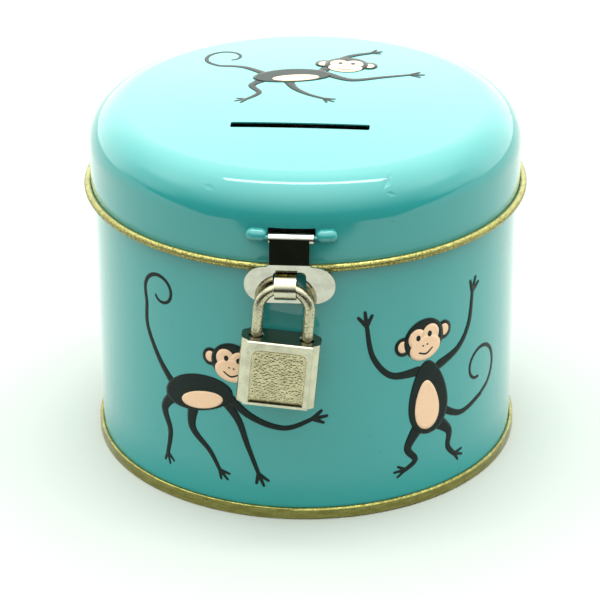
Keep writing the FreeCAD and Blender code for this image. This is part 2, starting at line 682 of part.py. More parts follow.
def lock_wafers():
    """Four flat wafers, each with a key hole and a side ear for its spring."""
    found = []
    for z in WAFERS:
        height = (z - WAFER_T / 2, z + WAFER_T / 2)
        wafer = box((-1.1, 1.1), (-1.75, 1.75), height)
        wafer = wafer.fuse(box((1.0, 1.8), (-0.5, -0.2), height))
        wafer = wafer.cut(box((-0.6, 0.9), (-1.15, 1.15), (z - 1, z + 1)))
        found.append(hung(wafer.removeSplitter()))
    return found


def coil(radius, wire, length, turns):
    """A coil spring standing on the origin along +Z."""
    pitch = (length - 2 * wire) / turns
    path = Part.makeHelix(pitch, pitch * turns, radius)
    path.translate(UP * wire)
    start = Vector(radius, 0, wire)
    ring = Part.Wire(Part.makeCircle(wire, start, Vector(0, 2 * math.pi * radius, pitch)))
    return Part.Wire(path).makePipeShell([ring], True, True)


def wafer_springs():
    """Four small springs that push the wafers' ears."""
    found = []
    for z in WAFERS:
        spring = coil(0.19, 0.05, 0.98, 5)
        spring.rotate(ORIGIN, Vector(1, 0, 0), -90)
        spring.translate(Vector(1.48, -0.17, z))
        found.append(hung(spring))
    return found


def shackle_spring():
    """Spring under the long leg, pressed short while the padlock is shut."""
    spring = coil(0.95, 0.2, SPRING_LENGTH, 3)
    spring.translate(Vector(-LEG_X, 0, HEEL_END - SPRING_LENGTH - 0.1))
    return hung(spring)


def cross_pin(radius, x, z):
    """A pin across the core, held between the case's two walls."""
    return hung(rod(radius, Vector(x, -PIN_HALF, z), Vector(0, 2 * PIN_HALF, 0)))


def heel_pin():
    """Pin that keeps the long leg in the padlock."""
    return cross_pin(HEEL_PIN_R, HEEL_PIN_X, HEEL_PIN_Z)


def plug_pin():
    """Pin that runs in the plug's groove and keeps the plug in."""
    return cross_pin(PLUG_PIN_R, PLUG_R + FIT, PLUG_PIN_Z)


def lock_bottom_plate():
    """Plate pressed into the bottom of the case round the plug."""
    plate = upright(cavity(PRESS), CASE_LOW, CASE_LOW + BOTTOM_PLATE_T)
    return hung(plate.cut(rod(PLUG_R + FIT, Vector(0, 0, CASE_LOW - 1), UP * (BOTTOM_PLATE_T + 2))))


PARTS = {
    "body_wall": body_wall,
    "bottom_end": bottom_end,
    "staple_loop": staple_loop,
    "hinge_leaf_body": hinge_leaf_body,
    "hinge_leaf_lid": hinge_leaf_lid,
    "hinge_pin": hinge_pin,
    "lid_shell": lid_shell,
    "hasp_strap": hasp_strap,
    "shackle": shackle,
    "lock_case": lock_case,
    "lock_core": lock_core,
    "lock_bottom_plate": lock_bottom_plate,
    "heel_pin": heel_pin,
    "plug_pin": plug_pin,
    "shackle_spring": shackle_spring,
    "key_plug": key_plug,
    "lock_wafers": lock_wafers,
    "wafer_springs": wafer_springs,
    "lock_bolt": lock_bolt,
    "hinge_rivets_body": lambda: rivets(BODY_RIVET_Z, BODY_R + LEAF_T, BODY_R - SHEET - 0.04),
    "hinge_rivets_lid": lambda: rivets(LID_RIVET_Z, LID_R + LEAF_T, LID_R - SHEET - 0.04),
}

for name, build in PARTS.items():
    made = build()
    save(name, made if isinstance(made, list) else [made])
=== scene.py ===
import json
import math
from functools import cached_property

import bmesh
import bpy
from mathutils import Matrix, Vector, noise


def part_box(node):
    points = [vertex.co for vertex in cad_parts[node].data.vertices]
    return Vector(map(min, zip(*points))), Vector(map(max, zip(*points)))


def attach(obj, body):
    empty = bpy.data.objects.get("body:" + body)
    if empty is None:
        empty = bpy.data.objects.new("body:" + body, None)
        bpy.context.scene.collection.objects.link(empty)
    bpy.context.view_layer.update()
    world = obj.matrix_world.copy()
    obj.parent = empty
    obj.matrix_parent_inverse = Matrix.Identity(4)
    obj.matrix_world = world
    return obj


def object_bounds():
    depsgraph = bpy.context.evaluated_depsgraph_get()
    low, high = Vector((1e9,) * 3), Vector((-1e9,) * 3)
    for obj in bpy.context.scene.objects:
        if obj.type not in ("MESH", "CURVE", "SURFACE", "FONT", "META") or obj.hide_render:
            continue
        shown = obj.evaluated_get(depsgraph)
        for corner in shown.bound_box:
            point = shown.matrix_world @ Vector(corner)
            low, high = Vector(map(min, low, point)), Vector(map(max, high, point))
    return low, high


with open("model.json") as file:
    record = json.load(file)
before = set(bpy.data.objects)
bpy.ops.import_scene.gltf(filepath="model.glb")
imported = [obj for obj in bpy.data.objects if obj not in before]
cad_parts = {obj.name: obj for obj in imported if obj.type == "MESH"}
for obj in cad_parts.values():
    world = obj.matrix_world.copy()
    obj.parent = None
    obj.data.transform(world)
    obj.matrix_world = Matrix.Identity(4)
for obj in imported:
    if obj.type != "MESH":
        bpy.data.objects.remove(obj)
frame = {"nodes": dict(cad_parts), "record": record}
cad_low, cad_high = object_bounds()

# Looks for a round tinplate money box. Metres, in the same frame as the CAD model.

MM = 0.001
nodes = frame["nodes"]
joints = {joint["name"]: joint for joint in frame["record"]["behaviour"]["joints"]}


# ---------------------------------------------------------------- places read from the CAD model

SEAM_HEIGHT = 4 * MM           # the wall is plain above this
CURL_CLEAR = 3 * MM            # and down to this much below the lid
SKIRT_SPAN = (9.4 * MM, 10.4 * MM)    # the lid's skirt is upright here, measured down from its top
DOME_RISE = 1.02 * MM          # the lid's dome ends this far below its top


def mesh_points(name):
    return [vertex.co.copy() for vertex in nodes[name].data.vertices]


def radius_of(p):
    """Distance from the box's upright axis."""
    return math.hypot(p.x, p.y)


lid_low, lid_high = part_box("lid_shell")
curl_low = lid_low.z
lid_top = lid_high.z
wall_r = max(radius_of(p) for p in mesh_points("body_wall") if SEAM_HEIGHT < p.z < curl_low - CURL_CLEAR)
skirt_r = max(radius_of(p) for p in mesh_points("lid_shell")
              if lid_top - SKIRT_SPAN[1] < p.z < lid_top - SKIRT_SPAN[0])
dome = [p for p in mesh_points("lid_shell") if lid_top - p.z < DOME_RISE]
rim_r = max(radius_of(p) for p in dome)
rim_z = max(p.z for p in dome if abs(radius_of(p) - rim_r) < 0.05 * MM)
dome_r = (rim_r ** 2 + (lid_top - rim_z) ** 2) / (2 * (lid_top - rim_z))

# the hanging padlock's own directions, and the middle of its plug
lock_up = -Vector(joints["case_drop"]["axis"]).normalized()
lock_right = -Vector(joints["bolt_draw"]["axis"]).normalized()
lock_back = Vector((0, 1, 0))
lock_frame = Matrix((lock_right, lock_back, lock_up)).transposed().to_4x4()
lock_frame.translation = Vector(joints["key_turn"]["pos_m"])


# ---------------------------------------------------------------- node trees

class Nodes:
    """A node tree, with its sums written as plain calls."""

    def __init__(self, tree):
        self.tree = tree

    def put(self, socket, value):
        """Link another node's output to a socket, or set the socket to a plain value."""
        if isinstance(value, bpy.types.NodeSocket):
            self.tree.links.new(value, socket)
        elif isinstance(value, tuple) and len(value) == 3 and socket.type == "RGBA":
            socket.default_value = (*value, 1)
        else:
            socket.default_value = value

    def node(self, kind, settings=None, **inputs):
        made = self.tree.nodes.new("ShaderNode" + kind)
        for key, value in (settings or {}).items():
            setattr(made, key, value)
        for key, value in inputs.items():
            self.put(made.inputs[key.replace("_", " ")], value)
        return made

    def calc(self, operation, a, b=0.0):
        made = self.node("Math", {"operation": operation})
        self.put(made.inputs[0], a)
        self.put(made.inputs[1], b)
        return made.outputs[0]

    def add(self, a, b):
        return self.calc("ADD", a, b)

    def both(self, a, b):
        return self.calc("MULTIPLY", a, b)

    def either(self, a, b):
        return self.calc("MAXIMUM", a, b)

    def vector(self, operation, a, fixed=None):
        """A vector sum of a and a fixed vector."""
        made = self.node("VectorMath", {"operation": operation}, Vector=a)
        if fixed is not None:
            made.inputs[1].default_value = fixed
        return made.outputs["Value" if operation in ("DOT_PRODUCT", "LENGTH") else "Vector"]

    def step(self, value, low, high, start=0.0, end=1.0):
        """start below low, end above high, smooth between. low may be above high."""
        if low > high:
            low, high, start, end = high, low, end, start
        made = self.node("MapRange", {"interpolation_type": "SMOOTHSTEP"})
        for key, given in enumerate((value, low, high, start, end)):
            self.put(made.inputs[key], given)
        return made.outputs[0]

    def mix(self, share, a, b):
        """Colour a where share is 0, b where it is 1."""
        made = self.node("MixRGB")
        for key, given in enumerate((share, a, b)):
            self.put(made.inputs[key], given)
        return made.outputs[0]

    def number(self, share, a, b):
        """Number a where share is 0, b where it is 1."""
        return self.node("Mix", Factor=share, A=a, B=b).outputs[0]


class Look(Nodes):
    """A surface material. Its grain is given in millimetres of the object."""

    def __init__(self, name):
        self.material = bpy.data.materials.new(name)
        self.material.use_nodes = True
        super().__init__(self.material.node_tree)
        self.shader = self.tree.nodes["Principled BSDF"]
        coordinates = self.node("TexCoord")
        self.place = coordinates.outputs["Object"]
        self.facing = coordinates.outputs["Normal"]

    @cached_property
    def xyz(self):
        x, y, z = self.node("SeparateXYZ", Vector=self.place).outputs
        return x, y, z

    @cached_property
    def radius(self):
        """Distance from the box's upright axis."""
        x, y, _ = self.xyz
        return self.calc("SQRT", self.add(self.both(x, x), self.both(y, y)))

    def grain(self, per_mm, detail=2.0, rough=0.5, stretch=(1, 1, 1)):
        """Noise with about this many features in a millimetre."""
        scaled = self.node("Mapping", Vector=self.place, Scale=tuple(s * per_mm / MM for s in stretch))
        made = self.node("TexNoise", Vector=scaled.outputs[0], Scale=1.0, Detail=detail, Roughness=rough)
        return made.outputs["Fac"]

    def cells(self, per_mm, output="Distance"):
        """Cells about this many to a millimetre."""
        scaled = self.node("Mapping", Vector=self.place, Scale=(per_mm / MM,) * 3)
        return self.node("TexVoronoi", Vector=scaled.outputs[0], Scale=1.0).outputs[output]

    def bump(self, height, depth_mm, below=None):
        """A bump over the one below, if there is one."""
        made = self.node("Bump", Height=height, Distance=depth_mm * MM, Strength=1.0)
        if below is not None:
            self.put(made.inputs["Normal"], below)
        return made.outputs[0]

    def finish(self, **inputs):
        for key, value in inputs.items():
            self.put(self.shader.inputs[key.replace("_", " ")], value)
        return self.material


# ---------------------------------------------------------------- printed tin

TEAL = (0.030, 0.275, 0.268)
TEAL_DEEP = (0.026, 0.255, 0.250)
PRINT_DOT = (0.07, 0.37, 0.36)
DUST = (0.02, 0.10, 0.09)
SCUFF = (0.30, 0.50, 0.48)
GOLD = (0.325, 0.300, 0.090)
GOLD_LIGHT = (0.40, 0.37, 0.13)
GOLD_DARK = (0.10, 0.075, 0.02)
# tone of the painted shade on the seam at the foot
SEAM_PAINTED_SHADE = (0.130, 0.113, 0.016)
BARE_TIN = (0.62, 0.61, 0.57)


def gold_wear(look, rubbed=None):
    """Colour, roughness, metal share and dark share of gold lacquer, most worn where rubbed is 1."""
    fine = look.grain(2.4, 3.0, 0.7)
    worn = look.both(look.step(look.grain(0.35, 3.0, 0.6), 0.48, 0.66), look.step(fine, 0.48, 0.60))
    specks = look.step(look.grain(2.0, 3.0, 0.7), 0.56, 0.64)
    dark = look.either(look.both(worn, 0.8), look.both(specks, 0.75))
    if rubbed is not None:
        rub = look.both(look.step(look.grain(2.6, 2.0, 0.8), 0.49, 0.56), rubbed)
        dark = look.either(dark, look.both(rub, 0.8))
    tone = look.mix(look.step(fine, 0.3, 0.7), GOLD, GOLD_LIGHT)
    return look.mix(dark, tone, GOLD_DARK), look.number(dark, 0.17, 0.5), look.number(dark, 0.95, 0.35), dark


def bare_tin(look, dull):
    return look.mix(look.grain(0.3, 4.0, 0.6), BARE_TIN, dull)


def teal_print(look):
    """Teal ink with a fine dot pattern, faint dust specks and a few scuffs."""
    tone = look.mix(look.grain(0.05, 3.0, 0.6), TEAL, TEAL_DEEP)
    dots = look.step(look.grain(7.0, 1.0), 0.35, 0.65)
    tone = look.mix(look.both(dots, 0.06), tone, PRINT_DOT)
    near_middle = look.step(look.cells(0.22), 0.055, 0.035)
    few = look.step(look.cells(0.22, "Color"), 0.72, 0.74)
    tone = look.mix(look.both(look.both(near_middle, few), 0.6), tone, DUST)
    scuff = look.step(look.grain(0.9, 4.0, 0.7, (1, 1, 6)), 0.70, 0.80)
    return look.mix(look.both(scuff, 0.18), tone, SCUFF)


def smudges(look):
    return look.step(look.grain(0.12, 4.0, 0.65), 0.45, 0.75)


def lacquer_skin(look):
    """Slow waves of the thin sheet under the fine orange peel of its lacquer."""
    return look.bump(look.grain(1.6, 2.0, 0.5), 0.0012, look.bump(look.grain(0.09, 2.0, 0.4), 0.030))


def dented(look, trough, below):
    """A shallow trough: far along it counts for less than far across it."""
    middle, along, half_long, half_wide, depth_mm = trough
    offset = look.vector("SUBTRACT", look.place, middle)
    run = look.vector("DOT_PRODUCT", offset, along)
    length = look.vector("LENGTH", offset)
    across = look.calc("SUBTRACT", look.both(length, length), look.both(run, run))
    across = look.calc("SQRT", look.either(across, 0.0))
    reach = look.add(look.calc("DIVIDE", look.calc("ABSOLUTE", run), half_long * MM),
                     look.calc("DIVIDE", across, half_wide * MM))
    reach = look.add(reach, look.both(look.grain(0.4, 1.0), 0.5))
    return look.bump(look.step(reach, 0.3, 1.3), depth_mm, below)


def printed_tin(name, gold_mask, inside_mask, dents=()):
    """Gloss printed tinplate with gold lacquer where gold_mask says and bare tin inside."""
    look = Look(name)
    height = look.xyz[2]
    gold = gold_mask(look)
    inside = inside_mask(look)
    curl_edge = look.step(height, curl_low + 1.9 * MM, curl_low + 1.5 * MM)
    gold_tone, gold_rough, gold_metal, dark = gold_wear(look, curl_edge)
    plain_tone = look.mix(inside, teal_print(look), bare_tin(look, (0.46, 0.44, 0.38)))
    plain_rough = look.number(inside, look.number(smudges(look), 0.10, 0.19), 0.34)
    normal = lacquer_skin(look)
    for trough in dents:
        normal = dented(look, trough, normal)
    normal = look.bump(look.both(dark, gold), 0.02, normal)
    # the gloss is dull at the foot of the wall, where the box is handled and slid about
    gloss = look.step(height, 3 * MM, 13 * MM, 0.12, 0.9)
    return look.finish(Base_Color=look.mix(gold, plain_tone, gold_tone),
                       Roughness=look.number(gold, plain_rough, gold_rough),
                       Metallic=look.number(gold, look.number(inside, 0.0, 1.0), gold_metal),
                       Normal=normal, Specular_IOR_Level=0.2,
                       Coat_Weight=look.number(look.either(gold, inside), gloss, 0.0),
                       Coat_Roughness=0.045, Coat_IOR=1.52)


def outward(look):
    """How much the surface faces away from the box's axis, and how much it faces up."""
    x, y, _ = look.xyz
    nx, ny, nz = look.node("SeparateXYZ", Vector=look.facing).outputs
    return look.add(look.both(x, nx), look.both(y, ny)), nz


def wall_gold(look):
    """The wall is gold only where it flares into the seam."""
    return look.step(look.radius, wall_r + 0.15 * MM, wall_r + 0.30 * MM)


def wall_inside(look):
    """The wall's inner face, and its rim above the lid's edge."""
    facing_in = look.step(outward(look)[0], 0.2 * wall_r, -0.2 * wall_r)
    return look.either(facing_in, look.step(look.xyz[2], curl_low + 1.5 * MM, curl_low + 1.6 * MM))


def lid_gold(look):
    """The lid is gold on its outward curl."""
    return look.both(look.step(look.radius, skirt_r + 0.02 * MM, skirt_r + 0.12 * MM),
                     look.step(look.xyz[2], curl_low + 2.6 * MM, curl_low + 2.3 * MM))


def lid_inside(look):
    """Inner faces are those whose outward normal points back at a point inside the lid."""
    away, nz = outward(look)
    middle = rim_z - 20 * MM
    up = look.both(look.calc("SUBTRACT", look.xyz[2], middle), nz)
    return look.step(look.add(up, away), 1 * MM, -1 * MM)


def seam_metal():
    """The rolled gold seam at the foot, darkened by painted shade in vertical streaks, with bare tin
    underneath.
    """
    look = Look("gold_seam")
    tone, rough, metal, dark = gold_wear(look)
    streak = look.step(look.grain(0.25, 3.0, 0.6, (1, 1, 5)), 0.42, 0.60)
    # painted shade: the seam is darkened all over, more in streaks, standing in for the shadow at its foot
    tone = look.mix(look.number(streak, 0.25, 0.58), tone, SEAM_PAINTED_SHADE)
    under = look.step(look.radius, wall_r - 0.3 * MM, wall_r - 0.8 * MM)
    normal = look.bump(dark, 0.02, look.bump(look.grain(1.2, 3.0, 0.6), 0.012))
    return look.finish(Base_Color=look.mix(under, tone, bare_tin(look, (0.42, 0.40, 0.35))),
                       Roughness=look.number(under, rough, 0.3),
                       Metallic=look.number(under, metal, 1.0), Normal=normal)


def ink(name, color, fleck):
    """Printing ink under a thin clear lacquer."""
    look = Look(name)
    tone = look.mix(look.step(look.grain(6.0, 1.0), 0.4, 0.65), color, fleck)
    tone = look.mix(look.both(look.grain(0.2, 3.0), 0.35), tone, fleck)
    return look.finish(Base_Color=tone, Roughness=look.number(smudges(look), 0.12, 0.22),
                       Normal=lacquer_skin(look), Specular_IOR_Level=0.1,
                       Coat_Weight=0.08, Coat_Roughness=0.06, Coat_IOR=1.4)


def on_shoulder(turn_deg, down_mm):
    """A point on the lid's rounded shoulder, this far round from the front and below the dome's rim."""
    round_r = skirt_r - rim_r
    lean = math.acos(max(-1.0, 1 - down_mm * MM / round_r))
    r = rim_r + round_r * math.sin(lean)
    turn = math.radians(turn_deg)
    return Vector((r * math.sin(turn), -r * math.cos(turn), rim_z - down_mm * MM))


def dent(from_turn, from_down, to_turn, to_down, half_wide, depth_mm):
    """A dent between two points of the shoulder: middle, direction, half length, half width, depth."""
    start = on_shoulder(from_turn, from_down)
    end = on_shoulder(to_turn, to_down)
    run = end - start
    return (start + end) / 2, run.normalized(), run.length / MM / 2, half_wide, depth_mm


# ---------------------------------------------------------------- plated and bare metal

NICKEL = (0.64, 0.60, 0.46)
MIRROR = (0.58, 0.56, 0.48)
WIRE = (0.55, 0.515, 0.36)
CAST = (0.62, 0.585, 0.45)
PEBBLED = (0.585, 0.52, 0.325)
ZINC = (0.48, 0.49, 0.50)
BRASS = (0.78, 0.58, 0.24)
PIT = (0.16, 0.12, 0.075)
# tone of the painted shade in corners, creases and steps
CREVICE_SHADE = (0.045, 0.037, 0.018)
# tone of the painted dark reflection on the padlock's top
TOP_SHADE_TONE = (0.012, 0.016, 0.010)


def plated(name, tone, rough, pits, scratch, wavy, top_shade=0.0):
    """Metal with pits, fine scratches, painted shade in its corners and a slight wave."""
    look = Look(name)
    broad = look.grain(0.4, 3.0, 0.6)
    color = look.mix(look.step(broad, 0.35, 0.7), tone, tuple(0.82 * c for c in tone))
    spots = look.step(look.grain(2.6, 3.0, 0.65), 0.66 - 0.13 * pits, 0.74 - 0.10 * pits)
    color = look.mix(look.both(spots, pits), color, PIT)
    # painted shade: ambient occlusion darkens the corners, creases and steps
    open_to_light = look.node("AmbientOcclusion", {"samples": 8}, Distance=0.9 * MM).outputs["AO"]
    color = look.mix(look.step(open_to_light, 0.72, 0.30), color, CREVICE_SHADE)
    if top_shade:
        # painted shade: the faces that look up along the hanging padlock are darkened, standing in for the
        # dark reflection on the case's top
        topmost = look.step(look.vector("DOT_PRODUCT", look.facing, lock_up), 0.90, 0.97)
        color = look.mix(look.both(topmost, top_shade), color, TOP_SHADE_TONE)
    lines = look.step(look.grain(1.3, 2.0, 0.6, (1, 1, 14)), 0.58, 0.72)
    roughness = look.add(look.number(broad, rough * 0.75, rough * 1.35), look.both(spots, 0.3 * pits))
    normal = look.bump(look.grain(0.7, 2.0, 0.5), wavy)
    normal = look.bump(lines, 0.003 * scratch, normal)
    normal = look.bump(look.calc("SUBTRACT", 1.0, spots), 0.02 * pits, normal)
    return look.finish(Base_Color=color, Roughness=roughness, Metallic=1.0, Normal=normal)


# ---------------------------------------------------------------- looks of the CAD parts

lid_dents = [
    dent(29.0, 0.6, 23.5, 3.6, half_wide=1.1, depth_mm=0.30),
    dent(24.0, 3.4, 28.5, 4.6, half_wide=0.8, depth_mm=0.22),
    dent(-25.0, 2.6, -19.0, 3.4, half_wide=0.9, depth_mm=0.14),
]
black_ink = ink("ink_black", (0.004, 0.008, 0.007), (0.012, 0.021, 0.018))
tan_ink = ink("ink_tan", (0.74, 0.47, 0.30), (0.80, 0.56, 0.39))
pebble_metal = plated("nickel_panel", PEBBLED, rough=0.22, pits=0.25, scratch=0.8, wavy=0.006)
# each material, and the CAD parts that wear it
looks = {
    printed_tin("printed_wall", wall_gold, wall_inside): ["body_wall"],
    printed_tin("printed_lid", lid_gold, lid_inside, lid_dents): ["lid_shell"],
    seam_metal(): ["bottom_end"],
    plated("mirror_nickel", MIRROR, rough=0.06, pits=0.02, scratch=0.15, wavy=0.002): ["hasp_strap"],
    plated("nickel_sheet", NICKEL, rough=0.20, pits=0.15, scratch=0.8, wavy=0.004): [
        "staple_loop", "hinge_leaf_body", "hinge_leaf_lid", "lock_bottom_plate",
        "hinge_rivets_body", "hinge_rivets_lid"],
    plated("nickel_wire", WIRE, rough=0.20, pits=0.80, scratch=1.2, wavy=0.006): [
        "hinge_pin", "shackle", "heel_pin", "plug_pin", "shackle_spring", "wafer_springs"],
    plated("nickel_cast", CAST, rough=0.22, pits=0.25, scratch=0.8, wavy=0.006, top_shade=0.65): [
        "lock_case"],
    plated("zinc_core", ZINC, rough=0.42, pits=0.3, scratch=0.6, wavy=0.01): ["lock_core"],
    plated("lock_brass", BRASS, rough=0.26, pits=0.2, scratch=1.0, wavy=0.003): [
        "key_plug", "lock_wafers", "lock_bolt"],
}
for material, names in looks.items():
    for name in names:
        slots = nodes[name].data.materials
        slots.clear()
        slots.append(material)


def soften_edges(name):
    """Round a sheet part's cut edges a hair, so that they catch the light."""
    edges = nodes[name].modifiers.new("edges", "BEVEL")
    edges.width = 0.10 * MM
    edges.segments = 2
    edges.limit_method = "ANGLE"
    edges.angle_limit = math.radians(50)
    edges.harden_normals = True


for name in ("hasp_strap", "staple_loop", "lock_bottom_plate"):
    soften_edges(name)


# ---------------------------------------------------------------- mesh helpers

def add_piece(name, points, faces, materials, body, tags=None):
    """A new piece from points in metres, riding on a body. tags pick each face's material."""
    mesh = bpy.data.meshes.new(name)
    mesh.from_pydata([tuple(p) for p in points], [], faces)
    for material in materials:
        mesh.materials.append(material)
    if tags:
        mesh.polygons.foreach_set("material_index", tags)
    mesh.polygons.foreach_set("use_smooth", [True] * len(mesh.polygons))
    shape = bmesh.new()
    shape.from_mesh(mesh)
    bmesh.ops.remove_doubles(shape, verts=shape.verts, dist=1e-7)
    bmesh.ops.dissolve_degenerate(shape, edges=shape.edges, dist=1e-8)
    shape.to_mesh(mesh)
    shape.free()
    mesh.update()
    piece = bpy.data.objects.new(name, mesh)
    bpy.context.scene.collection.objects.link(piece)
    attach(piece, body)
    return piece


def thicken(piece, label, thickness):
    """Give an open sheet its thickness, growing down from its face."""
    skin = piece.modifiers.new(label, "SOLIDIFY")
    skin.thickness = thickness
    skin.offset = -1


def turned(u, v, turn_deg):
    """u, v turned about the origin."""
    c = math.cos(math.radians(turn_deg))
    s = math.sin(math.radians(turn_deg))
    return u * c - v * s, u * s + v * c


# ---------------------------------------------------------------- ink shapes

class Print:
    """Flat ink shapes in millimetres, laid one over another, then wrapped on to the tin."""

    BLACK, TAN = 0, 1
    FIRST_LIFT = 0.020
    LAYER_LIFT = 0.004
    THICKNESS = 0.012 * MM
    RING_GAP = 0.7
    BLOB_SIDES = 44
    LINE_STEPS = 12

    def __init__(self):
        self.points = []
        self.faces = []
        self.tags = []
        self.layer = 0

    def sheet(self, rows, closed, ink_tag):
        """A patch from rows of points. Each patch lies a hair above the one before."""
        lift = self.FIRST_LIFT + self.LAYER_LIFT * self.layer
        self.layer += 1
        start = len(self.points)
        across = len(rows[0])
        for row in rows:
            self.points.extend((a, b, lift) for a, b in row)
        for i in range(len(rows) - 1):
            for j in range(across if closed else across - 1):
                k = (j + 1) % across
                low = start + i * across
                self.faces.append((low + j, low + k, low + across + k, low + across + j))
                self.tags.append(ink_tag)

    def blob(self, a, b, half_a, half_b, ink_tag, turn_deg=0.0, pinch=0.0):
        """An ellipse, narrower at its upper end when pinch is above zero."""
        rings = max(3, int(max(half_a, half_b) / self.RING_GAP))
        rows = []
        for ring in range(rings + 1):
            share = ring / rings
            row = []
            for side in range(self.BLOB_SIDES):
                way = 2 * math.pi * side / self.BLOB_SIDES
                u = share * half_a * math.cos(way) * (1 - pinch * share * math.sin(way))
                v = share * half_b * math.sin(way)
                du, dv = turned(u, v, turn_deg)
                row.append((a + du, b + dv))
            rows.append(row)
        self.sheet(rows[::-1], True, ink_tag)

    def spine(self, path):
        """Points close together on a smooth curve through the path's points."""
        ends = [path[0], *path, path[-1]]
        points = []
        for i in range(1, len(ends) - 2):
            p = [Vector(ends[i + k]) for k in (-1, 0, 1, 2)]
            for step in range(self.LINE_STEPS):
                t = step / self.LINE_STEPS
                points.append(0.5 * (2 * p[1] + (p[2] - p[0]) * t
                                     + (2 * p[0] - 5 * p[1] + 4 * p[2] - p[3]) * t * t
                                     + (3 * p[1] - p[0] - 3 * p[2] + p[3]) * t ** 3))
        points.append(Vector(path[-1]))
        return points

    def line(self, path, ink_tag):
        """A stroke through (a, b, width) points, with round ends."""
        spine = self.spine(path)
        last = len(spine) - 1
        rows = []
        for i, point in enumerate(spine):
            way = spine[min(i + 1, last)] - spine[max(i - 1, 0)]
            way = Vector((way.x, way.y)).normalized()
            half = point.z / 2
            turns = [0]
            if i == 0:
                turns = [-90, -60, -30, 0]
            elif i == last:
                turns = [0, 30, 60, 90]
            for turn in turns:
                shift = half * math.sin(math.radians(turn))
                reach = half * math.cos(math.radians(turn))
                centre = Vector((point.x, point.y)) + way * shift
                rows.append([(centre.x - way.y * reach * k, centre.y + way.x * reach * k)
                             for k in (1, 0.5, 0, -0.5, -1)])
        self.sheet(rows, False, ink_tag)

    def shift(self, da, db):
        self.points = [(a + da, b + db, lift) for a, b, lift in self.points]

    def lay(self, name, wrap, body):
        """Wrap the shapes with a function of (a, b, lift in mm), and give them the ink's thickness."""
        piece = add_piece(name, [wrap(*p) for p in self.points], self.faces,
                          [black_ink, tan_ink], body, self.tags)
        thicken(piece, "ink", self.THICKNESS)


def on_wall(turn_deg):
    """Wraps a print round the wall, centred at an angle from the front towards +X."""
    def wrap(a, b, lift):
        way = math.radians(turn_deg) + a * MM / wall_r
        r = wall_r + lift * MM
        return Vector((r * math.sin(way), -r * math.cos(way), b * MM))
    return wrap


def on_lid(a, b, lift):
    """Lays a print on the lid's dome."""
    r = dome_r + lift * MM
    x, y = a * MM, b * MM
    return Vector((x, y, lid_top - dome_r + math.sqrt(r * r - x * x - y * y)))


# ---------------------------------------------------------------- printed figures, a plain generic monkey

FINGERS = ((-42, 2.3), (-8, 2.9), (26, 2.5))    # spread in degrees and reach in mm


def hand(art, a, b, turn_deg, size):
    """Three short fingers fanned about a direction."""
    for spread, reach in FINGERS:
        way = math.radians(turn_deg + spread)
        tip = (a + reach * size * math.cos(way), b + reach * size * math.sin(way), 0.62 * size)
        art.line([(a, b, 0.95 * size), tip], Print.BLACK)


def limb(art, path, hand_turn, size=1.0):
    """An arm or a leg, with a hand at its end."""
    art.line(path, Print.BLACK)
    hand(art, path[-1][0], path[-1][1], hand_turn, size)


def head(art, a, b, turn_deg, size):
    """A round head with round ears, a pale face, two dots for eyes and a small smile."""

    def at(u, v):
        du, dv = turned(u, v, turn_deg)
        return a + size * du, b + size * dv

    def spot(u, v, half_u, half_v, ink_tag):
        art.blob(*at(u, v), half_u * size, half_v * size, ink_tag, turn_deg)

    for sign in (-1, 1):
        spot(sign * 5.2, 0.6, 2.0, 2.2, Print.BLACK)
        spot(sign * 5.3, 0.6, 1.15, 1.35, Print.TAN)
    spot(0, 0.6, 5.0, 4.7, Print.BLACK)
    for sign in (-1, 1):
        spot(sign * 1.7, 1.2, 2.15, 2.3, Print.TAN)
    spot(0, -1.6, 3.9, 2.75, Print.TAN)
    for sign in (-1, 1):
        spot(sign * 1.45, 1.3, 0.55, 0.7, Print.BLACK)
        spot(sign * 0.55, -0.9, 0.24, 0.2, Print.BLACK)
    smile = [(*at(-1.7, -2.2), 0.34 * size), (*at(0, -3.0), 0.42 * size), (*at(1.7, -2.2), 0.34 * size)]
    art.line(smile, Print.BLACK)


def curl(a, b, start_deg, turns, big, small, width):
    """Points of a tail's curl about a centre, from a big radius to a small one."""
    count = int(abs(turns) * 14)
    points = []
    for i in range(count + 1):
        share = i / count
        way = math.radians(start_deg) + 2 * math.pi * turns * share
        r = big + (small - big) * share
        points.append((a + r * math.cos(way), b + r * math.sin(way), width * (1 - 0.35 * share)))
    return points


def walking(art):
    """On all fours, facing right, one arm stretched forward."""
    tail = [(-7, 1, 2.0), (-11, 6, 1.5), (-14.5, 13, 1.2), (-14.6, 19, 1.1)]
    art.line(tail + curl(-10.0, 23.0, 200, -0.95, 5.2, 1.8, 1.05), Print.BLACK)
    limb(art, [(-5, -1, 3.2), (-9.5, -6, 2.2), (-8.0, -12, 1.5), (-9.0, -18, 1.1)], -70)
    limb(art, [(-1, -3, 3.0), (-1.5, -9, 2.0), (3.0, -14, 1.3), (5.5, -18.5, 1.0)], -40)
    limb(art, [(5, 2, 2.8), (10, -4, 1.9), (12.5, -11, 1.3), (15.0, -18, 1.0)], -60, 1.1)
    limb(art, [(6, 3, 2.8), (13, -3, 1.8), (21, -5.5, 1.3), (27.5, -3.0, 1.0)], 20, 1.15)
    art.blob(0, 0.5, 9.2, 4.6, Print.BLACK, 14, 0.1)
    art.blob(1.2, -1.2, 5.6, 2.2, Print.TAN, 14)
    head(art, 9.0, 9.4, -6, 1.02)


